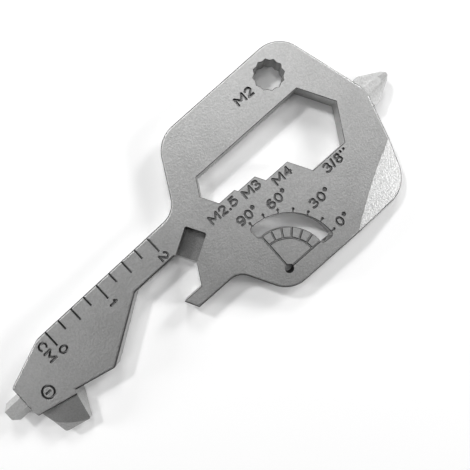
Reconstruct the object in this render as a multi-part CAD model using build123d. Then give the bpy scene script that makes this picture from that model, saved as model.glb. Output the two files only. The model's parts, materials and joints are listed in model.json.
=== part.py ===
"""Key-shaped pocket multi-tool, one flat steel plate with its driver tips in one piece with it.

The plate lies on its back. X runs along the key from the hexagon bit to the cross tip, Y runs
across it towards the twelve-point hole, and Z is up out of the marked face. Lengths are in
millimetres and angles in degrees. The drawing starts at the head's lower left corner, and the
finished tool is moved so that its origin is under the middle of its box.
"""

import os
from math import radians, sqrt, tan

from build123d import *

# Plate
PLATE_THICKNESS = 3.0
OUTER_EDGE_ROUND = 0.35
OPENING_EDGE_ROUND = 0.08

# Head, which is the same above and below its middle line
HEAD_HEIGHT = 29.55
HEAD_LENGTH = 23.1
NOSE_REACH = 27.4
FLANK_ANGLE = 61.0
HEAD_TOP_LEFT_RADIUS = 4.8
HEAD_BOTTOM_LEFT_RADIUS = 4.4
HEAD_RIGHT_RADIUS = 4.5
FLANK_TO_RULER_RADIUS = 3.6
FLANK_TO_CLAW_RADIUS = 2.6

# Open jaw, a hexagon open to the left, with the claw below it
JAW_ACROSS_FLATS = 5.85
JAW_X = -11.0
JAW_Y = 12.25
CLAW_THICKNESS = 2.1
CLAW_END_ANGLE = 62.0

# Shaft, in its own axes from the middle of the jaw, leaning a little against the head
SHAFT_LEAN = 1.15
NECK_WIDTH = 4.7
NECK_REACH = 6.1
HEEL_REACH = 15.55
HEEL_DROP = 3.13
HEEL_EDGE_ANGLE = 13.4
SHAFT_REACH = 28.65
SHAFT_END_TOP = 4.8
SHOULDER_ANGLE = 20.7
NECK_CORNER_RADIUS = 0.8
HEEL_RADIUS = 0.6
SHAFT_CORNER_RADIUS = 0.5
SHOULDER_RADIUS = 3.0

# Blind pocket behind the jaw's upper side
POCKET_WIDTH = 3.3
POCKET_LENGTH = 4.6
POCKET_FLOOR = 0.8
POCKET_CORNER_RADIUS = 0.3

# Slotted driver on a lug under the shaft's end, its two faces ground by a cone
TAB_FROM_HEEL = 9.8
TAB_LUG = 0.65
TAB_LUG_ROUND = 0.25
TAB_LENGTH = 4.2
TAB_ROOT_WIDTH = 6.35
TAB_TIP_WIDTH = 4.05
TAB_TIP_OFFSET = 0.6
TAB_TIP_THICKNESS = 0.75
TAB_TIP_LEFT_RADIUS = 0.6
TAB_TIP_RIGHT_RADIUS = 0.3
TAB_GRIND_RADIUS = 9.3
TAB_GRIND_ANGLE = 97.0
TAB_GRIND_SLOPE = 14.5

# Hexagon bit on the shaft's end
BIT_ACROSS_FLATS = 2.8
BIT_LENGTH = 3.1
BIT_HEIGHT_ON_SHAFT = 2.2
BIT_CHAMFER = 0.15

# Cross tip on the nose
CROSS_BELOW_MIDDLE = 0.125
CROSS_RADIUS = 2.48
CROSS_COLLAR = 0.65
CROSS_LENGTH = 4.25
CROSS_HALF_ANGLE = 28.0
CROSS_NOSE_LENGTH = 0.6
CROSS_NOSE_RADIUS = 0.35
CROSS_WING = 0.62
CROSS_FLUTE_ANGLE = 7.0

# Wrench opening, hexagons side by side under one straight edge, for these nuts
NUT_SIZES = (5.0, 5.5, 7.0, 10.45)
NUT_CLEARANCE = 0.05
WRENCH_FROM_TOP = 7.9
WRENCH_FIRST_X = 2.0

# Twelve-point hole, two hexagons turned on each other
RING_NUT_SIZE = 3.95
RING_FROM_RIGHT = 4.9
RING_FROM_TOP = 3.8

# Protractor
PIVOT_X = 1.9
PIVOT_Y = 2.85
PIVOT_DIAMETER = 1.4
ARC_INNER_RADIUS = 6.0
ARC_OUTER_RADIUS = 8.05
ARC_OVERRUN = 4.5
ARC_END_RADIUS = 0.5
DEGREE_STEP = 15
DEGREE_MARK_REACH = 8.8
DEGREE_MARK_WIDTH = 0.16
DEGREE_MARK_DEPTH = 0.25
DEGREE_DOT_DIAMETER = 0.38
DIAL_RADIUS = 4.4
DIAL_LINE_WIDTH = 0.28
DIAL_LINE_DEPTH = 0.3

# Ruler along the upper edge, in quarters of a centimetre
RULER_ZERO = 19.45
RULER_LENGTH = 20.0
RULER_STEP = 2.5
WHOLE_MARK = 2.7
HALF_MARK = 2.25
QUARTER_MARK = 1.8
RULER_LINE_WIDTH = 0.26

# Sunk marks, with steep sides and a soft lip around them
MARK_DEPTH = 0.36
MARK_SIDE_ANGLE = 12.0
LIP_WIDTH = 0.04
LIP_SLOPE = 35.0

# Ground corner, a shallow cone cut across the head's lower right corner
BEVEL_ALONG_BOTTOM = 10.4
BEVEL_UP_FLANK = 7.5
BEVEL_RADIUS = 75.0
BEVEL_ANGLE = 15.0

MIDDLE = PLATE_THICKNESS / 2
TAB_EMBED = TAB_LUG + 2 * OUTER_EDGE_ROUND
JAW = Vector(JAW_X, JAW_Y)
JAW_SIDE = JAW_ACROSS_FLATS / sqrt(3)
NECK_BOTTOM = JAW_ACROSS_FLATS / 2
RULER_EDGE = NECK_BOTTOM + NECK_WIDTH
SHAFT_AXES = Location((JAW_X, JAW_Y, 0), (0, 0, SHAFT_LEAN))
HEEL = Vector(-HEEL_REACH, -HEEL_DROP)


def direction(angle):
    """Unit arrow in the plane of the plate at this angle from X."""
    return Vector(1, 0).rotate(Axis.Z, angle)


def crossing(start_a, along_a, start_b, along_b):
    """Point where two straight lines in the plane of the plate cross."""
    reach = (start_b - start_a).cross(along_b).Z / along_a.cross(along_b).Z
    return start_a + along_a * reach


def on_shaft(x, y):
    """Point given in the shaft's own axes, from the middle of the jaw."""
    return JAW + Vector(x, y).rotate(Axis.Z, SHAFT_LEAN)


def hexagon(across_flats, turn=0):
    """Hexagon with two flats level with X, turned by an angle."""
    return RegularPolygon(across_flats / 2, 6, major_radius=False, rotation=turn)


def plate_outline():
    """The key's outline, clockwise from the corner between ruler and head."""
    level = direction(0)
    lean = direction(SHAFT_LEAN)
    ruler_start = on_shaft(0, RULER_EDGE)
    claw_bottom = Vector(JAW_X, JAW_Y - NECK_BOTTOM - CLAW_THICKNESS)
    claw_tip = Vector(JAW_X - JAW_SIDE / 2, JAW_Y - NECK_BOTTOM)
    head_top_left = Vector(0, HEAD_HEIGHT)
    head_bottom_left = Vector(0, 0)
    shaft_end = on_shaft(-SHAFT_REACH, SHAFT_END_TOP)
    heel = on_shaft(HEEL.X, HEEL.Y)
    end_line = on_shaft(-SHAFT_REACH, 0)
    along_end = direction(SHAFT_LEAN + 90)
    along_heel_edge = direction(SHAFT_LEAN - HEEL_EDGE_ANGLE)
    along_shoulder = direction(SHAFT_LEAN + SHOULDER_ANGLE)
    corners = [
        (crossing(ruler_start, lean, head_top_left, direction(FLANK_ANGLE)), FLANK_TO_RULER_RADIUS),
        (head_top_left, HEAD_TOP_LEFT_RADIUS),
        (Vector(HEAD_LENGTH, HEAD_HEIGHT), HEAD_RIGHT_RADIUS),
        (Vector(NOSE_REACH, HEAD_HEIGHT / 2), 0),
        (Vector(HEAD_LENGTH, 0), HEAD_RIGHT_RADIUS),
        (head_bottom_left, HEAD_BOTTOM_LEFT_RADIUS),
        (crossing(claw_bottom, level, head_bottom_left, direction(-FLANK_ANGLE)), FLANK_TO_CLAW_RADIUS),
        (crossing(claw_bottom, level, claw_tip, direction(-CLAW_END_ANGLE)), 0),
        (claw_tip, 0),
        (Vector(JAW_X + JAW_SIDE / 2, JAW_Y - NECK_BOTTOM), 0),
        (Vector(JAW_X + JAW_SIDE, JAW_Y), 0),
        (Vector(JAW_X + JAW_SIDE / 2, JAW_Y + NECK_BOTTOM), 0),
        (on_shaft(-NECK_REACH, NECK_BOTTOM), NECK_CORNER_RADIUS),
        (heel, HEEL_RADIUS),
        (crossing(heel, along_heel_edge, end_line, along_end), 0),
        (shaft_end, SHAFT_CORNER_RADIUS),
        (crossing(shaft_end, along_shoulder, ruler_start, lean), SHOULDER_RADIUS),
    ]
    points = [corner for corner, radius in corners]
    radii = [radius for corner, radius in corners]
    return make_face(FilletPolyline(*points, radius=radii, close=True))


def wrench_opening():
    """Hexagons under one straight edge, each placed so that the flat before it runs into its side."""
    opening = Sketch()
    sizes = [nut + NUT_CLEARANCE for nut in NUT_SIZES]
    top = HEAD_HEIGHT - WRENCH_FROM_TOP
    middle = WRENCH_FIRST_X
    for before, size in zip([None] + sizes, sizes):
        if before:
            middle += (1.5 * size - 0.5 * before) / sqrt(3)
        opening += Pos(middle, top - size / 2) * hexagon(size)
    length = middle - WRENCH_FIRST_X
    height = min(sizes) / 2
    return opening + Pos(WRENCH_FIRST_X + length / 2, top - height / 2) * Rectangle(length, height)


def ring_opening():
    """Two hexagons turned on each other by 30 degrees."""
    size = RING_NUT_SIZE + NUT_CLEARANCE
    middle = Pos(HEAD_LENGTH - RING_FROM_RIGHT, HEAD_HEIGHT - RING_FROM_TOP)
    return middle * (hexagon(size) + hexagon(size, 30))


def arc_opening():
    """The protractor's slot, a quarter ring about the pivot."""
    ring = Circle(ARC_OUTER_RADIUS) - Circle(ARC_INNER_RADIUS)
    far = 2 * ARC_OUTER_RADIUS
    low = direction(-ARC_OVERRUN) * far
    high = direction(90 + ARC_OVERRUN) * far
    sector = make_face(Polyline((0, 0), low, direction(45) * far * 2, high, close=True))
    slot = ring & sector
    return Pos(PIVOT_X, PIVOT_Y) * fillet(slot.vertices(), ARC_END_RADIUS)


def in_jaw(edge):
    """Whether this edge of a flat face is one side of the jaw."""
    middle = edge.center()
    return (Vector(middle.X, middle.Y) - JAW).length < JAW_SIDE


def plate():
    """The flat body with its openings, its rounded rim and its small chamfers."""
    body = extrude(plate_outline(), PLATE_THICKNESS) - bevel()
    walls = body.faces().filter_by(lambda face: abs(face.normal_at().Z) < 0.01)
    upright = walls.edges().filter_by(Axis.Z)
    rims = ShapeList(edge for edge in walls.edges() if edge not in upright and not in_jaw(edge))
    body = fillet(rims, OUTER_EDGE_ROUND)
    for opening in (wrench_opening(), ring_opening(), arc_opening()):
        body -= extrude(opening, PLATE_THICKNESS)
    edges = ShapeList()
    for face in (body.faces().sort_by(Axis.Z)[0], body.faces().sort_by(Axis.Z)[-1]):
        edges += face.outer_wire().edges().filter_by(in_jaw)
        for wire in face.inner_wires():
            edges += wire.edges()
    body = chamfer(edges, OPENING_EDGE_ROUND)
    return body - Pos(PIVOT_X, PIVOT_Y, MIDDLE) * Cylinder(PIVOT_DIAMETER / 2, PLATE_THICKNESS)


def tab_grinding(tip_right):
    """Cutter for the driver's upper side: a cone above a flat at the tip, and a round on the lug's edge."""
    size = 4 * TAB_GRIND_RADIUS
    tip_height = MIDDLE + TAB_TIP_THICKNESS / 2
    above_tip = PLATE_THICKNESS - tip_height
    middle = tip_right - direction(TAB_GRIND_ANGLE) * TAB_GRIND_RADIUS
    upper_radius = TAB_GRIND_RADIUS - above_tip / tan(radians(TAB_GRIND_SLOPE))
    outside = Box(size, size, above_tip) - Cone(TAB_GRIND_RADIUS, upper_radius, above_tip)
    cutter = Pos(middle.X, middle.Y, tip_height + above_tip / 2) * outside
    cutter &= Pos(0, TAB_LUG + size / 2, 0) * Box(2 * size, size, 2 * size)
    side = TAB_LUG_ROUND
    edge = Pos(TAB_LUG - side / 2, PLATE_THICKNESS - side / 2) * Rectangle(side, side)
    edge -= Pos(TAB_LUG - side, PLATE_THICKNESS - side) * Circle(side)
    across = Plane(origin=(0, 0, 0), x_dir=(0, 1, 0), z_dir=(1, 0, 0))
    return cutter + extrude(across * edge, TAB_ROOT_WIDTH, both=True)


def tab():
    """Slotted driver: its plan, ground thin on both sides."""
    inside = TAB_LUG - TAB_EMBED
    root = TAB_ROOT_WIDTH / 2
    tip = TAB_LUG + TAB_LENGTH
    tip_left = TAB_TIP_OFFSET - TAB_TIP_WIDTH / 2
    tip_right = TAB_TIP_OFFSET + TAB_TIP_WIDTH / 2
    left_slope = (tip_left + root) / TAB_LENGTH
    right_slope = (tip_right - root) / TAB_LENGTH
    plan = FilletPolyline(
        (-root - left_slope * TAB_EMBED, inside),
        (root - right_slope * TAB_EMBED, inside),
        (tip_right, tip),
        (tip_left, tip),
        radius=[0, 0, TAB_TIP_RIGHT_RADIUS, TAB_TIP_LEFT_RADIUS],
        close=True,
    )
    solid = extrude(make_face(plan), PLATE_THICKNESS)
    upper = tab_grinding(Vector(tip_right, tip))
    solid -= [upper, mirror(upper, about=Plane.XY.offset(MIDDLE))]
    along = direction(-HEEL_EDGE_ANGLE)
    place = HEEL - along * TAB_FROM_HEEL
    facing = Plane(origin=(place.X, place.Y, PLATE_THICKNESS), x_dir=along, z_dir=(0, 0, -1))
    return SHAFT_AXES * facing.location * solid


def bit():
    """Hexagon bit with its flats level with the plate, chamfered at its end."""
    embed = BIT_LENGTH
    start = Plane(
        origin=(embed - SHAFT_REACH, BIT_HEIGHT_ON_SHAFT, MIDDLE), x_dir=(0, 1, 0), z_dir=(-1, 0, 0)
    )
    solid = extrude(start * hexagon(BIT_ACROSS_FLATS), embed + BIT_LENGTH)
    end = solid.faces().sort_by(Axis.X)[0]
    return SHAFT_AXES * chamfer(end.edges(), BIT_CHAMFER)


def cross_tip():
    """Cross driver, turned about its axis, fluted and cut to the plate's thickness."""
    embed = CROSS_RADIUS
    end = CROSS_LENGTH
    nose = end - CROSS_NOSE_LENGTH
    slope = direction(CROSS_HALF_ANGLE)
    nose_radius = CROSS_RADIUS - (nose - CROSS_COLLAR) * slope.Y / slope.X
    half = make_face(
        Polyline(
            (-embed, 0),
            (-embed, CROSS_RADIUS),
            (CROSS_COLLAR, CROSS_RADIUS),
            (nose, nose_radius),
            (end, CROSS_NOSE_RADIUS),
            (end, 0),
            close=True,
        )
    )
    turned = revolve(half, Axis.X, 360)
    inner = CROSS_WING / 2
    side = 2 * CROSS_RADIUS
    length = embed + 2 * end
    flute = Pos(2 * end - length / 2, inner + side / 2, inner + side / 2) * Box(length, side, side)
    flute = flute.rotate(Axis((end, inner, inner), (0, 1, -1)), CROSS_FLUTE_ANGLE)
    for turn in range(0, 360, 90):
        turned -= Rot(turn, 0, 0) * flute
    turned &= Box(4 * end, 4 * CROSS_RADIUS, PLATE_THICKNESS)
    return Pos(NOSE_REACH, HEAD_HEIGHT / 2 - CROSS_BELOW_MIDDLE, MIDDLE) * turned


def pocket():
    """Blind pocket, open towards the jaw, square to the hexagon's upper right side."""
    side = JAW + direction(30) * NECK_BOTTOM
    mouth = 2 * POCKET_CORNER_RADIUS
    shape = Rectangle(mouth + POCKET_LENGTH, POCKET_WIDTH)
    shape = Pos((POCKET_LENGTH - mouth) / 2, 0) * fillet(shape.vertices(), POCKET_CORNER_RADIUS)
    cutter = extrude(shape, PLATE_THICKNESS)
    return Location((side.X, side.Y, POCKET_FLOOR), (0, 0, 30)) * cutter


def bevel():
    """Large shallow cone, whose rim crosses the marked face from the bottom edge to the right flank."""
    flank = Vector(HEAD_LENGTH, 0) - Vector(NOSE_REACH, HEAD_HEIGHT / 2)
    start = Vector(HEAD_LENGTH - BEVEL_ALONG_BOTTOM, 0)
    end = crossing(Vector(0, BEVEL_UP_FLANK), Vector(1, 0), Vector(HEAD_LENGTH, 0), flank)
    chord = end - start
    rise = sqrt(BEVEL_RADIUS**2 - (chord.length / 2) ** 2)
    middle = (start + end) / 2 + chord.normalized().rotate(Axis.Z, -90) * rise
    slope = direction(BEVEL_ANGLE)
    inner = BEVEL_RADIUS - PLATE_THICKNESS * slope.X / slope.Y
    cone = Cone(inner, BEVEL_RADIUS, PLATE_THICKNESS)
    return Pos(middle.X, middle.Y, MIDDLE) * cone


def stroke(start, end, width):
    """Straight stroke of a mark, flat in the plane of the plate, from one point to the other."""
    run = end - start
    middle = (start + end) / 2
    angle = Vector(1, 0).get_signed_angle(run, Vector(0, 0, 1))
    return Location((middle.X, middle.Y, 0), (0, 0, angle)) * Rectangle(run.length, width)


def sunk(shape, depth=MARK_DEPTH):
    """Cutter that sinks a flat shape into the marked face, with steep sides and a soft lip."""
    slope = radians(LIP_SLOPE)
    lip_depth = LIP_WIDTH * tan(slope) / (1 - tan(slope) * tan(radians(MARK_SIDE_ANGLE)))
    body = extrude(shape, depth, taper=MARK_SIDE_ANGLE)
    lip = extrude(offset(shape, LIP_WIDTH, kind=Kind.INTERSECTION), lip_depth, taper=90 - LIP_SLOPE)
    return Pos(0, 0, PLATE_THICKNESS) * mirror(body + lip, about=Plane.XY)


def ruler_marks():
    """Grooves across the upper edge, longest at each centimetre."""
    lengths = (WHOLE_MARK, QUARTER_MARK, HALF_MARK, QUARTER_MARK)
    marks = []
    for number in range(round(RULER_LENGTH / RULER_STEP) + 1):
        x = number * RULER_STEP - RULER_ZERO
        foot = on_shaft(x, RULER_EDGE - lengths[number % len(lengths)])
        beyond = on_shaft(x, RULER_EDGE + RULER_LINE_WIDTH)
        marks.append(sunk(stroke(foot, beyond, RULER_LINE_WIDTH)))
    return marks


def protractor_marks():
    """Degree marks with a dot at the end outside the slot, and inside it a dial with its right angle."""
    pivot = Vector(PIVOT_X, PIVOT_Y)
    marks = []
    for angle in range(0, 91, DEGREE_STEP):
        arrow = direction(angle)
        dot = pivot + arrow * (DEGREE_MARK_REACH - DEGREE_DOT_DIAMETER / 2)
        from_slot = pivot + arrow * (ARC_OUTER_RADIUS - DEGREE_MARK_WIDTH)
        marks.append(sunk(stroke(from_slot, dot, DEGREE_MARK_WIDTH), DEGREE_MARK_DEPTH))
        marks.append(sunk(Pos(dot.X, dot.Y) * Circle(DEGREE_DOT_DIAMETER / 2)))
        inner = pivot if angle in (0, 90) else pivot + arrow * DIAL_RADIUS
        to_slot = pivot + arrow * (ARC_INNER_RADIUS + DIAL_LINE_WIDTH)
        marks.append(sunk(stroke(inner, to_slot, DIAL_LINE_WIDTH), DIAL_LINE_DEPTH))
    half = DIAL_LINE_WIDTH / 2
    ring = Circle(DIAL_RADIUS + half) - Circle(DIAL_RADIUS - half)
    quarter = ring & Pos(DIAL_RADIUS, DIAL_RADIUS) * Rectangle(2 * DIAL_RADIUS, 2 * DIAL_RADIUS)
    marks.append(sunk(Pos(PIVOT_X, PIVOT_Y) * quarter, DIAL_LINE_DEPTH))
    return marks


def key_tool():
    """The whole tool, with its origin under the middle of its box."""
    tool = plate() + [tab(), bit(), cross_tip()]
    tool -= pocket()
    tool -= ruler_marks()
    tool -= protractor_marks()
    box = tool.bounding_box()
    return Pos(-box.center().X, -box.center().Y, -box.min.Z) * tool


os.makedirs("parts", exist_ok=True)
tool = key_tool()
export_step(tool, "parts/key_tool.step")
print("key_tool", tool.bounding_box().size, "volume", round(tool.volume, 1))
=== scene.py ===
# %% [markdown]
# # A key-shaped pocket tool in blasted steel
# The real tool is one flat piece of cast steel, three millimetres thick, and it lies on its back on
# white paper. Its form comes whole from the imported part. This lesson adds what a maker would do
# last: sinking the size marks into the face, blasting the surface, and setting up a small studio
# that looks straight down on the tool.
#
# Everything is measured in the part's own frame: X runs along the key, Y runs across it, and Z is
# up out of the marked face. Blender works in metres, and the sizes here are written in
# millimetres, because that is how a toolmaker would give them.

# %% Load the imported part
import json
from math import cos, degrees, radians, sin, tan

import bmesh
import bpy
from mathutils import Matrix, Vector
from mathutils.bvhtree import BVHTree


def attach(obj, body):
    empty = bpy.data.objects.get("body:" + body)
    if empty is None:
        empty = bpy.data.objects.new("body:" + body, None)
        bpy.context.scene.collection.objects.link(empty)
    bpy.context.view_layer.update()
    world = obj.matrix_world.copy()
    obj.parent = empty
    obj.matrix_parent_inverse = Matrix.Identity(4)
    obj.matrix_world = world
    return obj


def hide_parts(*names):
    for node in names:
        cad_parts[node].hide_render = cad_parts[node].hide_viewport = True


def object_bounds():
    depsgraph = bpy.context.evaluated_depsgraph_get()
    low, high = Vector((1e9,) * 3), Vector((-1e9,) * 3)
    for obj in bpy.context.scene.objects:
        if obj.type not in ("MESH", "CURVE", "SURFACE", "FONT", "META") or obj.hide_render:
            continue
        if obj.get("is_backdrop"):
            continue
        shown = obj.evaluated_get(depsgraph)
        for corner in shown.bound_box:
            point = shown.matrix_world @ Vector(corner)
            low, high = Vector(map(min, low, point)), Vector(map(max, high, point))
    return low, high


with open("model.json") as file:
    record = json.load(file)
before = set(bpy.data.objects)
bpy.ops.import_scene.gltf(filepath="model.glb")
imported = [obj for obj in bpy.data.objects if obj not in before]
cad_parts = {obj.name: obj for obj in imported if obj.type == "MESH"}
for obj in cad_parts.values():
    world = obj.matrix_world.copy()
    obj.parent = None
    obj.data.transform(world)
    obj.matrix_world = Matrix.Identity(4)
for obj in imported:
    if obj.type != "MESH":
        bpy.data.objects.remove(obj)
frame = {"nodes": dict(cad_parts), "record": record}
cad_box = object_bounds()
MM = 0.001
THICKNESS = cad_box[1].z / MM


def added(name, data):
    """A new object with this data in the scene."""
    obj = bpy.data.objects.new(name, data)
    bpy.context.scene.collection.objects.link(obj)
    return obj


print("the part is", [round(side / MM, 2) for side in cad_box[1] - cad_box[0]], "mm")

# %% [markdown]
# ## Where things are on the tool
# The record of the part names the places where it meets other things, such as the pivot of its
# protractor or each step of its wrench opening. The size marks belong to those places, so they are
# set out from them and not from a corner of the picture.

# %% Places by name
mounts = frame["record"]["mounts"]
places = {mount["name"]: Vector(mount["pos_m"]) / MM for mount in mounts}
arrows = {mount["name"]: Vector(mount["axis"]) for mount in mounts}
print(len(places), "named places, the pivot at", [round(c, 2) for c in places["pivot_hole"]])

# %% [markdown]
# ## Shader sums written as sums
# A procedural finish is a sum of patterns. Wiring each Math node by hand hides that sum, so a small
# class holds one socket and lets Python's own signs add the nodes. Numbers and values go through
# Math nodes. Colours and vectors never do, because a Math node would turn a colour grey.

# %% One socket that can be added, scaled and mixed
class Value:
    """One number that changes over a surface."""

    def __init__(self, finish, socket):
        self.finish = finish
        self.socket = socket

    def _math(self, operation, first, second):
        settings = {"operation": operation}
        return self.finish.node("ShaderNodeMath", settings, {0: first, 1: second})

    def __add__(self, other):
        return self._math("ADD", self, other)

    __radd__ = __add__

    def __mul__(self, other):
        return self._math("MULTIPLY", self, other)

    __rmul__ = __mul__

    def __sub__(self, other):
        return self._math("SUBTRACT", self, other)

    def __rsub__(self, other):
        return self._math("SUBTRACT", other, self)

    def __lt__(self, other):
        return self._math("LESS_THAN", self, other)

    def __gt__(self, other):
        return self._math("GREATER_THAN", self, other)

# %% One finish, and one way to add any node to it
class Finish:
    """The node tree of a material or of the world, with its old nodes cleared away."""

    def __init__(self, owner):
        owner.use_nodes = True
        self.tree = owner.node_tree
        self.tree.nodes.clear()

    def node(self, kind, settings=None, inputs=None, output=0):
        """Adds a node, with its settings first and then the values or links of its sockets."""
        made = self.tree.nodes.new(kind)
        for name, setting in (settings or {}).items():
            if name == "stops":
                self._set_stops(made.color_ramp, setting)
            else:
                setattr(made, name, setting)
        for name, given in (inputs or {}).items():
            if isinstance(given, Value):
                self.tree.links.new(given.socket, made.inputs[name])
            else:
                made.inputs[name].default_value = given
        return Value(self, made.outputs[output]) if made.outputs else made

    def mix(self, factor, first, second):
        """Adds a colour between two others, each a plain colour or a socket."""
        inputs = {0: factor, 6: first, 7: second}
        return self.node("ShaderNodeMix", {"data_type": "RGBA"}, inputs, output=2)

    def vector(self, operation, first, second=(0, 0, 0), output=0):
        """Adds a sum of vectors, with its result as a vector or, at output 1, as a number."""
        inputs = {0: first, 1: second}
        return self.node("ShaderNodeVectorMath", {"operation": operation}, inputs, output)

    def ramp(self, stops, value):
        """Adds a grey that follows a value through stops."""
        return self.node("ShaderNodeValToRGB", {"stops": stops}, {"Fac": value})

    def _set_stops(self, ramp, stops):
        """Gives a ramp its stops, each a place from 0 to 1 and a grey."""
        while len(ramp.elements) < len(stops):
            ramp.elements.new(1)
        for element, (place, grey) in zip(ramp.elements, stops):
            element.position = place
            element.color = (grey, grey, grey, 1)

# %% [markdown]
# ## Blasted steel
# The tool was blasted with fine beads after casting, so each spot of its surface is a shallow pit a
# fifth of a millimetre or so wide. The pits scatter what the metal mirrors, and so the face looks
# matt and even from a step away and sparkles a little from close by. A texture image could show the
# pits, but a noise of their true size stays sharp at any distance, so the finish is built from
# patterns: the pits as bump, and in the colour the pits again with a cloud of duller patches a few
# millimetres across.
#
# Four places differ. The rounded rims and the other sloped faces are painted darker, which is painted
# shade where they turn away from the light. Where the face has only just begun to lean, on the ground
# corner and along the inner side of the rims, its high spots get a painted highlight. The surface's
# own normal finds both. The drivers were ground to size last and are brighter, and the record knows
# their ends and directions. Their level faces are brightened less, and the slanted nose of the cross
# driver not at all, which is painted shade where those faces catch the lamps. The narrow marks and
# the blind pocket are painted dark, darker the deeper they lie, which is painted shade in the
# recesses, and each face will carry that as a value named sunk.

# %% Pits and clouds
PIT_WIDTH = 0.26
PIT_DETAIL = 2
PIT_ROUGHNESS = 0.6
CLOUD_WIDTH = 4.0
CLOUD_DETAIL = 3
CLOUD_ROUGHNESS = 0.55


def noise(finish, place, width, detail, roughness):
    """A noise whose spots are about this many millimetres wide."""
    inputs = {"Vector": place, "Scale": 1 / (width * MM), "Detail": detail, "Roughness": roughness}
    return finish.node("ShaderNodeTexNoise", {"noise_dimensions": "3D"}, inputs)

# %% Where the drivers are
# Each driver's length and the length of its nose in millimetres, and how bright it was ground.
DRIVERS = {
    "hexagon_bit": (3.05, 0, 0.9),
    "slotted_driver": (4.0, 0, 0.4),
    "cross_driver": (4.55, 1.85, 1.0),
}
SIDE_REACH = 2


def on_drivers(finish, place):
    """Where the drivers are, where their noses are, and how bright each was ground."""
    where, noses, brightness = 0, 0, 0
    for name, (length, nose, share) in DRIVERS.items():
        from_end = finish.vector("SUBTRACT", place, places[name] * MM)
        along = finish.vector("DOT_PRODUCT", from_end, arrows[name], output=1)
        away = finish.vector("LENGTH", from_end, output=1)
        here = (along > -length * MM) * (away < SIDE_REACH * length * MM)
        where = where + here
        if nose:
            noses = noses + here * (along > -nose * MM)
        brightness = brightness + here * share
    return where, noses, brightness

# %% The steel's colour
# A ramp's stops are pairs of a value and the grey that it turns into.
STEEL = (0.49, 0.49, 0.487, 1)
DULL_STEEL = (0.37, 0.37, 0.368, 1)
# Painted shade on the rims and other sloped faces.
RIM_SHADE_STEEL = (0.10, 0.10, 0.10, 1)
# Painted highlight where a face has only just begun to lean.
HIGHLIGHT_STEEL = (0.68, 0.68, 0.678, 1)
GROUND_STEEL = (0.58, 0.58, 0.577, 1)
# Painted shade in the narrow marks and the pocket.
RECESS_SHADE_STEEL = (0.05, 0.05, 0.05, 1)
PIT_SHARE = 0.7
SHADE_STOPS = [(0.3, 0), (0.7, 1)]
RIM_SHADE_STOPS = [(0.03, 0), (0.1, 1), (0.8, 1), (0.92, 0)]
HIGHLIGHT_STOPS = [(0.93, 0), (0.95, 1), (0.98, 1), (0.995, 0)]
PIT_CONTRAST = 1.6
HIGHLIGHT_LIFT = -0.4
GROUND_LIFT = 0.1
# Level faces of the drivers get less brightening, as painted shade where they catch the lamps.
LEVEL_SHARE = 0.8


def steel_colour(finish, pits, clouds, upwards, level, drivers, sunk):
    """The steel's colour, from the plain steel up to the ground brightening and the painted shade and
    highlight over it.
    """
    on_driver, blunt, ground = drivers
    shade = finish.ramp(SHADE_STOPS, (1 - PIT_SHARE) * clouds + PIT_SHARE * pits)
    # Painted highlight on faces that have only just begun to lean, found by the normal's tilt.
    painted_highlight = finish.ramp(HIGHLIGHT_STOPS, upwards) * (1 - on_driver)
    # Painted shade on the rims and sloped faces, found by the normal's tilt.
    rim_shade = finish.ramp(RIM_SHADE_STOPS, upwards) * (1 - on_driver)
    # The ground brightening is the drivers' own finish. It is painted weaker on level faces and left
    # off the nose's sloped faces, as painted shade where they catch the lamps.
    ground = ground * (1 - blunt) * (1 - (1 - LEVEL_SHARE) * level)
    colour = finish.mix(shade, DULL_STEEL, STEEL)
    colour = finish.mix(painted_highlight * (PIT_CONTRAST * pits + HIGHLIGHT_LIFT), colour, HIGHLIGHT_STEEL)
    colour = finish.mix(rim_shade, colour, RIM_SHADE_STEEL)
    colour = finish.mix(ground * (PIT_CONTRAST * pits + GROUND_LIFT), colour, GROUND_STEEL)
    # Painted shade in the recesses, darker the deeper they lie.
    return finish.mix(sunk, colour, RECESS_SHADE_STEEL)

# %% The steel
STEEL_ROUGHNESS = 0.46
ROUGHER_CLOUDS = 0.08
ROUGHER_DRIVERS = 0.1
ROUGHER_NOSES = 0.2
PIT_DEPTH = 0.04
# The metallic value where the recess shade is painted in full.
SHADED_METALLIC = 0.4
LEVEL = 0.97


def blasted_steel():
    """Matt grey metal covered in small pits."""
    material = bpy.data.materials.new("blasted_steel")
    finish = Finish(material)
    place = finish.node("ShaderNodeTexCoord", output=3)
    normal = finish.node("ShaderNodeTexCoord", output=1)
    upwards = finish.node("ShaderNodeSeparateXYZ", {}, {0: normal}, output=2)
    level = upwards > LEVEL
    pits = noise(finish, place, PIT_WIDTH, PIT_DETAIL, PIT_ROUGHNESS)
    clouds = noise(finish, place, CLOUD_WIDTH, CLOUD_DETAIL, CLOUD_ROUGHNESS)
    on_driver, on_nose, ground = on_drivers(finish, place)
    # The nose's sloped faces lose the ground brightening, as painted shade against the lamps' glint,
    # and are rougher.
    blunt = on_nose * (1 - level)
    # Painted shade in the recesses, as one value for each face.
    sunk = finish.node("ShaderNodeAttribute", {"attribute_name": "sunk"}, output=2)
    drivers = (on_driver, blunt, ground)
    inputs = {
        "Base Color": steel_colour(finish, pits, clouds, upwards, level, drivers, sunk),
        # Less metal where shade is painted into the recesses.
        "Metallic": 1 - (1 - SHADED_METALLIC) * sunk,
        "Roughness": (
            STEEL_ROUGHNESS
            + ROUGHER_CLOUDS * clouds
            + ROUGHER_DRIVERS * on_driver
            + ROUGHER_NOSES * blunt
        ),
        "Normal": finish.node("ShaderNodeBump", {}, {"Distance": PIT_DEPTH * MM, "Height": pits}),
    }
    surface = finish.node("ShaderNodeBsdfPrincipled", {}, inputs)
    finish.node("ShaderNodeOutputMaterial", {}, {"Surface": surface})
    return material


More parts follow.
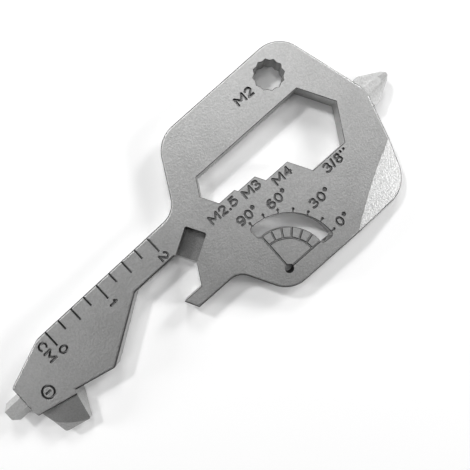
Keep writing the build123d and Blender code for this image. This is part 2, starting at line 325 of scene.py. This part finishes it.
steel = blasted_steel()
print("blasted steel has", len(steel.node_tree.nodes), "nodes")

# %% [markdown]
# ## Marks as strokes
# The size marks were in the mould, and every line of them is a groove of the same width with steep
# sides, a flat floor and a soft lip. A font would bring its own thick and thin shapes, and widening
# them closes their small inner fields. So the letters are drawn as an engraver draws them: each one
# is a few strokes, and one cutter with the groove's section follows every stroke.

# %% The groove's section
STROKE_WIDTH = 0.30
STROKE_DEPTH = 0.36
STROKE_SIDE_ANGLE = 10
LIP_WIDTH = 0.05
LIP_SLOPE = 33
ABOVE_FACE = 0.3


def groove_profile():
    """Half widths and heights of the groove, down one side, over its floor and up the other."""
    half = STROKE_WIDTH / 2
    lip_depth = LIP_WIDTH * tan(radians(LIP_SLOPE))
    floor_half = half - (STROKE_DEPTH - lip_depth) * tan(radians(STROKE_SIDE_ANGLE))
    side = [
        (half + LIP_WIDTH, ABOVE_FACE),
        (half + LIP_WIDTH, 0),
        (half, -lip_depth),
        (floor_half, -STROKE_DEPTH),
    ]
    return side + [(-reach, z) for reach, z in reversed(side)]


print("a stroke is", STROKE_WIDTH + 2 * LIP_WIDTH, "mm wide at the face")

# %% A cutter that follows a path
END_REACH = 0.87
END_WIDTH = 0.5


def side_arrow(before, point, after):
    """Arrow to the left of the path here, as long as a mitre needs, for a half width of one."""
    headings = [step.normalized() for step in (point - before, after - point) if step.length > 0]
    left = [Vector((-heading.y, heading.x)) for heading in headings]
    mitre = sum(left, Vector((0, 0))).normalized()
    return mitre / mitre.dot(left[0])


def stations_of(points, closed):
    """Each point of the path with its side arrow, and a narrower one beyond each open end."""
    count = len(points)
    stations = []
    for index, point in enumerate(points):
        before = points[index - 1] if closed or index > 0 else point
        after = points[(index + 1) % count] if closed or index < count - 1 else point
        stations.append((point, side_arrow(before, point, after)))
    if closed:
        return stations
    ends = []
    for (end, side), inner in ((stations[0], points[1]), (stations[-1], points[-2])):
        outwards = (end - inner).normalized() * STROKE_WIDTH / 2
        ends.append((end + outwards * END_REACH, side * END_WIDTH))
    return [ends[0], *stations, ends[1]]


def stroke_cutter(path, closed=False):
    """Solid with the groove's section along a path in the plane, with blunt round ends."""
    profile = groove_profile()
    made = bmesh.new()
    rings = []
    for point, side in stations_of([Vector(point) for point in path], closed):
        rings.append([made.verts.new((*(point - side * reach), z)) for reach, z in profile])
    following = rings[1:] + rings[:1] if closed else rings[1:]
    for ring, after in zip(rings, following):
        for corner in range(len(profile)):
            beside = (corner + 1) % len(profile)
            made.faces.new((ring[corner], ring[beside], after[beside], after[corner]))
    if not closed:
        made.faces.new(rings[0])
        made.faces.new(rings[-1])
    bmesh.ops.recalc_face_normals(made, faces=made.faces)
    mesh = bpy.data.meshes.new("stroke")
    made.to_mesh(mesh)
    made.free()
    return mesh

# %% [markdown]
# ## Letters from strokes
# Each letter is drawn in a square from 0 to 1, which is then stretched to the letter's width and
# height. Straight strokes are lists of corners, and round ones are parts of ellipses. Where two
# strokes meet at a sharp angle they stay two, because a mitre there would grow a long spike.

# %% Strokes of each letter
ARC_STEP = 15


def arc(x, y, across, up, start, end):
    """Points on an ellipse around (x, y), from one angle to another in degrees."""
    steps = max(2, round(abs(end - start) / ARC_STEP))
    angles = [radians(start + (end - start) * step / steps) for step in range(steps + 1)]
    return [(x + across * cos(angle), y + up * sin(angle)) for angle in angles]


def loop(x, y, across, up):
    """Points all around an ellipse, without its first point twice."""
    return arc(x, y, across, up, 0, 360)[:-1]


def turned(strokes):
    """Strokes turned by half a turn in their square."""
    return [([(1 - x, 1 - y) for x, y in path], closed) for path, closed in strokes]


def lines(*paths):
    """Open strokes."""
    return [(path, False) for path in paths]


def loops(*paths):
    """Closed strokes."""
    return [(path, True) for path in paths]


SIX = loops(loop(0.5, 0.31, 0.5, 0.31)) + lines(arc(0.56, 0.5, 0.56, 0.5, 58, 180) + [(0, 0.31)])
EM = lines([(0, 0), (0, 1)], [(0, 1), (0.5, 0.3)], [(0.5, 0.3), (1, 1)], [(1, 1), (1, 0)])
THREE = lines(arc(0.42, 0.76, 0.46, 0.24, 150, -90), arc(0.42, 0.26, 0.58, 0.26, 90, -150))
FIVE = lines([(0.92, 1), (0.12, 1), (0.06, 0.56)] + arc(0.44, 0.33, 0.56, 0.33, 118, -148))
# Each letter's width in millimetres and its strokes.
LETTERS = {
    "M": (1.7, EM),
    "C": (1.35, lines(arc(0.5, 0.5, 0.5, 0.5, 48, 312))),
    "0": (1.22, loops(loop(0.5, 0.5, 0.5, 0.5))),
    "1": (0.62, lines([(1, 0), (1, 1)], [(1, 1), (0, 0.72)])),
    "2": (1.2, lines(arc(0.5, 0.7, 0.5, 0.3, 165, -25) + [(0, 0)], [(0, 0), (1, 0)])),
    "3": (1.15, THREE),
    "4": (1.28, lines([(0.74, 0), (0.74, 1)], [(0.74, 1), (0, 0.32)], [(0, 0.32), (1, 0.32)])),
    "5": (1.22, FIVE),
    "6": (1.22, SIX),
    "8": (1.12, loops(loop(0.5, 0.77, 0.42, 0.23), loop(0.5, 0.27, 0.5, 0.27))),
    "9": (1.22, turned(SIX)),
    "/": (0.52, lines([(0, 0), (1, 1)])),
    ".": (0.42, lines([(0, 0), (1, 0)])),
    '"': (0.92, lines([(0, 1), (0, 0.86)], [(1, 1), (1, 0.86)])),
    "°": (0.62, loops(loop(0.5, 0.85, 0.5, 0.15))),
}
print(len(LETTERS), "letters and signs")

# %% A word from its letters, in millimetres
LETTER_HEIGHT = 1.5
LETTER_GAP = 0.18


def on_face(meshes, middle, turn):
    """The meshes, turned by an angle in degrees and set on the face around a middle point."""
    place = Matrix.Translation((*middle[:2], THICKNESS)) @ Matrix.Rotation(radians(turn), 4, "Z")
    for mesh in meshes:
        mesh.transform(place)
    return meshes


def word_cutters(text, middle, turn):
    """Cutters of a word around a middle point, turned by an angle in degrees."""
    widths = [LETTERS[letter][0] for letter in text]
    left = -(sum(widths) + LETTER_GAP * (len(text) - 1)) / 2
    rise = LETTER_HEIGHT - STROKE_WIDTH
    meshes = []
    for letter, width in zip(text, widths):
        inside = width - STROKE_WIDTH
        start = left + STROKE_WIDTH / 2
        for path, closed in LETTERS[letter][1]:
            points = [(start + x * inside, y * rise - rise / 2) for x, y in path]
            meshes.append(stroke_cutter(points, closed))
        left += width + LETTER_GAP
    return on_face(meshes, middle, turn)

# %% [markdown]
# ## The size marks
# Each step of the wrench opening has its thread size below it, and the twelve-point hole has its
# own beside it. The protractor has its angle every thirty degrees, outside the slot. The ruler
# counts centimetres, and its letters are read with the key standing on its tip, so they are turned
# a quarter turn and lean with the shaft.

# %% The words and where they go
QUARTER_TURN = 90
SHAFT_LEAN = 1.15
# Each word's place by name, and how far from it the word stands along and up in millimetres.
UNDER_STEP = {
    "M2.5": ("wrench_small", -1.72, -3.65),
    "M3": ("wrench_medium", 0.0, -3.8),
    "M4": ("wrench_large", 0.15, -4.55),
    '3/8"': ("wrench_widest", 0.3, -6.3),
}
BESIDE_RING = {"M2": ("ring_hole", -4.75, 0.05)}
AROUND_PIVOT = {
    "90°": ("pivot_hole", 0.42, 9.73),
    "60°": ("pivot_hole", 5.25, 8.7),
    "30°": ("pivot_hole", 10.0, 4.72),
    "0°": ("pivot_hole", 10.35, 0.25),
}
# Each word's own middle in millimetres.
BESIDE_RULER = {
    "CM": (-26.7, 2.28),
    "0": (-24.65, 0.98),
    "1": (-14.8, 1.32),
    "2": (-4.9, 1.4),
}

words = []
for group in (UNDER_STEP, BESIDE_RING, AROUND_PIVOT):
    for text, (place, along, up) in group.items():
        words.append((text, places[place] + Vector((along, up, 0)), 0))
for text, middle in BESIDE_RULER.items():
    words.append((text, middle, SHAFT_LEAN - QUARTER_TURN))
print("words:", ", ".join(text for text, middle, turn in words))

# %% [markdown]
# ## The sign of the slotted driver
# Beside the flat driver is a plain sign for it: a ring with a bar, as the head of a slotted screw
# looks from above. Both are strokes like the letters, and the bar lies along the shaft.

# %% The ring and its bar
SIGN_MIDDLE = (-30.4, -2.2)
SIGN_RADIUS = 0.92
SIGN_BAR = 1.1


def sign_cutters():
    """Cutters of the ring and of the bar across it."""
    inside = (SIGN_BAR - STROKE_WIDTH) / 2
    ring = stroke_cutter(loop(0, 0, SIGN_RADIUS, SIGN_RADIUS), True)
    bar = stroke_cutter([(-inside, 0), (inside, 0)])
    return on_face([ring, bar], SIGN_MIDDLE, SHAFT_LEAN)

# %% [markdown]
# ## Cutting the marks
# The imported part's own mesh is never changed. A copy of it takes the cuts and then stands for it.
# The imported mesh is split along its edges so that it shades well, and a cut needs a closed skin, so
# the copy is welded first. All cutters go into one mesh, and one exact cut takes them all away.

# %% Cut the copy
WELD_DISTANCE = 1e-4


def worked_out(obj):
    """The mesh of an object with its modifiers worked out, and the object taken away."""
    bpy.context.view_layer.update()
    evaluated = obj.evaluated_get(bpy.context.evaluated_depsgraph_get())
    mesh = bpy.data.meshes.new_from_object(evaluated)
    bpy.data.objects.remove(obj)
    return mesh


def welded_copy(node):
    """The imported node's mesh as one closed skin, in millimetres."""
    mesh = frame["nodes"][node].data.copy()
    mesh.transform(Matrix.Scale(1 / MM, 4))
    skin = bmesh.new()
    skin.from_mesh(mesh)
    for edge in skin.edges:
        edge.smooth = not edge.is_boundary
    bmesh.ops.remove_doubles(skin, verts=skin.verts, dist=WELD_DISTANCE)
    open_edges = [edge for edge in skin.edges if not edge.is_manifold]
    skin.to_mesh(mesh)
    skin.free()
    print("welded skin:", len(mesh.polygons), "faces,", len(open_edges), "open edges")
    return mesh


def joined(meshes):
    """Several meshes as one."""
    whole = bmesh.new()
    for mesh in meshes:
        whole.from_mesh(mesh)
    together = bpy.data.meshes.new("cutters")
    whole.to_mesh(together)
    whole.free()
    return together


cutters = [mesh for text, middle, turn in words for mesh in word_cutters(text, middle, turn)]
cutters += sign_cutters()
cutter = added("cutters", joined(cutters))

blank = added("blank", welded_copy("key_tool"))
cut = blank.modifiers.new("marks", "BOOLEAN")
cut.operation = "DIFFERENCE"
cut.solver = "EXACT"
cut.use_self = True
cut.object = cutter
tool_mesh = worked_out(blank)
bpy.data.objects.remove(cutter)
print("cut skin:", len(tool_mesh.polygons), "faces")

# %% [markdown]
# ## Shading the edges
# Curved walls should look smooth, the edges between faces should stay crisp, and a big flat face
# should stay flat right up to its rounded rim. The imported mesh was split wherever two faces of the
# real form meet, so those edges are sharp unless they turn by only a little, as a rim does where it
# runs into the flat. Blender would then mix the normals around each point by the size of the small
# triangles there, which leaves streaks on the flat. Here each triangle counts with the size of the
# whole flat patch that it belongs to, and the streaks go.

# %% Normals that respect flat faces
RIM_TURN = 12
CUT_TURN = 25
FLAT_TURN = 0.2


def turn_of(edge):
    """Angle between the two faces of an edge, in degrees."""
    return degrees(edge.calc_face_angle(0))


def mark_sharp_edges(skin):
    """Keeps the borders that turn enough, and adds the edges that the cutters left."""
    for edge in skin.edges:
        border = not edge.smooth
        edge.smooth = turn_of(edge) < (RIM_TURN if border else CUT_TURN)


def flat_patches(skin):
    """For each face, the area of the flat patch that it belongs to."""
    area = {}
    for start in skin.faces:
        if start in area:
            continue
        patch, waiting = {start}, [start]
        while waiting:
            for edge in waiting.pop().edges:
                if edge.smooth and turn_of(edge) < FLAT_TURN:
                    found = [face for face in edge.link_faces if face not in patch]
                    patch.update(found)
                    waiting.extend(found)
        whole = sum(face.calc_area() for face in patch)
        area.update((face, whole) for face in patch)
    return area


def fan_normals(skin):
    """One normal for each corner of each face, shared by corners that no sharp edge parts."""
    area = flat_patches(skin)
    normals = {}
    for vertex in skin.verts:
        left = set(vertex.link_faces)
        while left:
            fan, waiting = set(), [left.pop()]
            while waiting:
                face = waiting.pop()
                fan.add(face)
                for edge in face.edges:
                    if vertex in edge.verts and edge.smooth:
                        found = [other for other in edge.link_faces if other in left]
                        left.difference_update(found)
                        waiting.extend(found)
            mixed = sum((face.normal * area[face] for face in fan), Vector()).normalized()
            normals.update({(face.index, vertex.index): mixed for face in fan})
    return normals

# %% [markdown]
# ## Finding where shade is painted into the marks
# A face lies in a narrow mark if nearly every level look from it soon meets a wall. Twelve looks
# are enough, and a straight groove leaves only the two along its own length open. Such faces get
# painted shade, and the deeper the face lies, the darker it is painted, while the fine lines of the
# dial get the least. The blind pocket beside the jaw is wide, but it is deep, so its walls and floor
# get a good part of the painted shade too.

# %% Looks around a face
LOOK_REACH = 1.6
LOOK_LIFT = 0.02
FIRST_LOOK = 10
LOOK_STEP = 30
LOOK_TURNS = [radians(turn) for turn in range(FIRST_LOOK, FIRST_LOOK + 360, LOOK_STEP)]
LOOKS = [Vector((cos(turn), sin(turn), 0)) for turn in LOOK_TURNS]
OPEN_LOOKS = 2


def is_narrow(start, tree):
    """True for a point that walls stand close around."""
    still_open = 0
    for look in LOOKS:
        if tree.ray_cast(start, look, LOOK_REACH)[0] is None:
            still_open += 1
            if still_open > OPEN_LOOKS:
                return False
    return True

# %% How much painted shade a face takes
# How much painted shade the marks and the pocket take, by depth and place.
SHADE_AT_TOP = 0.12
SHADE_PER_DEPTH = 0.8
DIAL_REACH = 6.8
DIAL_DEPTH = 0.5
DIAL_SHARE = 0.25
POCKET_REACH = 2.4
POCKET_RIM = 0.3
POCKET_DEPTH = THICKNESS - places["cap_pocket"].z
BELOW_POCKET = 0.1
POCKET_SHADE = 0.4


def recess_shade_of(face, tree):
    """How much painted shade a face takes, from 0 to 1."""
    middle = face.calc_center_median()
    start = middle + face.normal * LOOK_LIFT
    depth = THICKNESS - middle.z
    # Narrow marks are painted darker the deeper the face lies, the dial lines least.
    if start.z < THICKNESS and is_narrow(start, tree):
        on_dial = depth < DIAL_DEPTH and (middle - places["pivot_hole"]).xy.length < DIAL_REACH
        return min(1, SHADE_AT_TOP + SHADE_PER_DEPTH * depth) * (DIAL_SHARE if on_dial else 1)
    # The pocket's walls and floor get painted shade too.
    near_pocket = (middle - places["cap_pocket"]).xy.length < POCKET_REACH
    in_pocket = near_pocket and POCKET_RIM < depth < POCKET_DEPTH + BELOW_POCKET
    return POCKET_SHADE if in_pocket else 0


def find_recess_shade(skin):
    """Gives each face the value that its finish reads, and counts those that are not zero."""
    tree = BVHTree.FromBMesh(skin)
    # Each face's painted recess shade, which the steel's finish reads.
    layer = skin.faces.layers.float.new("sunk")
    for face in skin.faces:
        face[layer] = recess_shade_of(face, tree)
    return sum(face[layer] > 0 for face in skin.faces)

# %% Finish the tool
def shade(mesh):
    """Finds the narrow marks of a mesh, marks its sharp edges and gives it its normals."""
    skin = bmesh.new()
    skin.from_mesh(mesh)
    # Counts the faces that take painted shade in the recesses.
    print(find_recess_shade(skin), "faces keep some of the dark skin")
    mark_sharp_edges(skin)
    normals = fan_normals(skin)
    skin.to_mesh(mesh)
    skin.free()
    mesh.polygons.foreach_set("use_smooth", [True] * len(mesh.polygons))
    corners = [
        normals[face.index, mesh.loops[corner].vertex_index]
        for face in mesh.polygons
        for corner in face.loop_indices
    ]
    mesh.normals_split_custom_set(corners)


shade(tool_mesh)
tool_mesh.transform(Matrix.Scale(MM, 4))
tool_mesh.materials.clear()
tool_mesh.materials.append(steel)
tool = added("marked_tool", tool_mesh)
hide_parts("key_tool")
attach(tool, "root")

# %% [markdown]
# ## Directions in the studio
# The camera looks straight down, and the tool lies across the picture at a slant. Lamps are easier
# to place by how they stand to the picture, so a helper turns an angle in the picture, counted
# anticlockwise from its right side, into the part's own frame.

# %% Picture directions
PICTURE_TURN = -41.6


def towards(angle, elevation):
    """Arrow at an angle in the picture that stands this many degrees above the paper."""
    level = cos(radians(elevation))
    turn = radians(angle + PICTURE_TURN)
    return Vector((level * cos(turn), level * sin(turn), sin(radians(elevation))))


print("right in the picture is", [round(c, 2) for c in towards(0, 0)])

# %% [markdown]
# ## The paper
# The tool lies on white paper. The floor is large and plain, a hair rough, and it takes the soft
# shadows that give the tool its weight. Paper under plain light renders as a very light grey, and
# more light would bleach the steel too. So the paper shines a little by itself, but only for rays
# that come straight from the camera or by way of a mirror or glass, which the Light Path node tells
# apart.

# %% Paper
PAPER = (0.93, 0.93, 0.93, 1)
PAPER_GLOW = (0.04, 0.04, 0.04, 1)
NO_GLOW = (0, 0, 0, 1)
PAPER_ROUGHNESS = 0.9
PAPER_SHINE = 0.2
PAPER_SIDE = 3.0
SEEN_RAYS = ("Is Camera Ray", "Is Glossy Ray", "Is Transmission Ray")


def white_paper():
    """Plain matt paper with a faint glow that only the eye sees."""
    material = bpy.data.materials.new("white_paper")
    finish = Finish(material)
    seen = sum(finish.node("ShaderNodeLightPath", output=name) for name in SEEN_RAYS)
    inputs = {
        "Base Color": PAPER,
        "Roughness": PAPER_ROUGHNESS,
        "Specular IOR Level": PAPER_SHINE,
        "Emission Color": finish.mix(seen, NO_GLOW, PAPER_GLOW),
        "Emission Strength": 1.0,
    }
    surface = finish.node("ShaderNodeBsdfPrincipled", {}, inputs)
    finish.node("ShaderNodeOutputMaterial", {}, {"Surface": surface})
    return material


half = PAPER_SIDE / 2
corners = [(-half, -half, 0), (half, -half, 0), (half, half, 0), (-half, half, 0)]
paper_mesh = bpy.data.meshes.new("paper")
paper_mesh.from_pydata(corners, [], [(0, 1, 2, 3)])
paper_mesh.materials.append(white_paper())
paper = added("paper", paper_mesh)
paper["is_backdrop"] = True
print("the paper is", PAPER_SIDE, "m wide")

# %% [markdown]
# ## Light
# A flat matt metal face shows the lamps above it as one wide soft gradient, so the lamps are placed
# by what the faces should mirror. The key lamp is the smallest. It stands at the upper left of the
# picture and throws the sharp shadows that draw the openings and the letters. Four low windows, on
# the right, at the back and on the left, light the ground corner and the rims, and a weak lamp
# fills from the left. Two weak lamps high up make the face brighter towards the top of the picture,
# and nothing hangs over its lower side, so the face darkens there.

# %% Lamps
# Each lamp's angle in the picture, its elevation, its side in metres and its power in watts.
LAMP_DISTANCE = 0.5
LAMPS = {
    "key": (135, 43, 0.05, 0.89),
    "window_right": (0, 24, 0.10, 0.97),
    "window_far_right": (45, 24, 0.10, 1.12),
    "window_back": (90, 33, 0.10, 0.65),
    "window_left": (180, 15, 0.10, 0.93),
    "fill_left": (210, 51, 0.10, 0.25),
    "ceiling_back": (90, 63, 0.10, 0.29),
    "ceiling_right": (45, 75, 0.10, 0.19),
}


def lamp(name, angle, elevation, side, power):
    """A square lamp around the tool, facing it."""
    light = bpy.data.lights.new(name, "AREA")
    light.shape = "SQUARE"
    light.size = side
    light.energy = power
    direction = towards(angle, elevation)
    obj = added(name, light)
    obj.location = direction * LAMP_DISTANCE
    obj.rotation_mode = "QUATERNION"
    obj.rotation_quaternion = direction.to_track_quat("Z", "Y")


for name, values in LAMPS.items():
    lamp(name, *values)
watts = sum(power for angle, elevation, side, power in LAMPS.values())
print(len(LAMPS), "lamps of", round(watts, 2), "watts in all")

# %% World
WORLD_COLOUR = (1, 1, 1, 1)
WORLD_STRENGTH = 0.01


def room():
    """Dim light from all around."""
    world = bpy.data.worlds.new("room")
    bpy.context.scene.world = world
    finish = Finish(world)
    inputs = {"Color": WORLD_COLOUR, "Strength": WORLD_STRENGTH}
    back = finish.node("ShaderNodeBackground", {}, inputs)
    finish.node("ShaderNodeOutputWorld", {}, {"Surface": back})


room()
print("the room adds light of strength", WORLD_STRENGTH)

# %% [markdown]
# ## Camera
# The picture was taken from close above the tool, so the walls of the openings lean outwards in it.
# The distance is what makes the walls show as wide as they do, and the lens then gives the tool its
# size in the picture. The picture's middle lies a little below the point under the lens.

# %% Camera above the tool
PICTURE_SIDE = 470
CAMERA_OVER = (6.67, -1.0)
CAMERA_HEIGHT = 63.8
FOCAL_PIXELS = 421.3
SENSOR = 36.0
CENTRE_BELOW_LENS = 19.5
NEAREST_SEEN = 0.001
FARTHEST_SEEN = 10

camera_data = bpy.data.cameras.new("camera")
camera_data.sensor_width = SENSOR
camera_data.lens = SENSOR * FOCAL_PIXELS / PICTURE_SIDE
camera_data.shift_y = -CENTRE_BELOW_LENS / PICTURE_SIDE
camera_data.clip_start = NEAREST_SEEN
camera_data.clip_end = FARTHEST_SEEN
camera = added("camera", camera_data)
camera.location = Vector((*CAMERA_OVER, CAMERA_HEIGHT)) * MM
camera.rotation_euler = (0, 0, radians(PICTURE_TURN))
bpy.context.scene.camera = camera
bpy.context.scene.view_settings.view_transform = "Standard"
print("the camera stands", CAMERA_HEIGHT, "mm up, with a lens of", round(camera_data.lens, 1), "mm")

# %% [markdown]
# ## Sizes of both boxes
# The part's own box and the dressed tool's box are both printed, so that they can be compared.
# Nothing added here may stand out of the part's own box.

# %% Write the sizes and finish
dressed_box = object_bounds()
dressed_sides = dressed_box[1] - dressed_box[0]
print("the dressed tool is", [round(side / MM, 2) for side in dressed_sides], "mm")
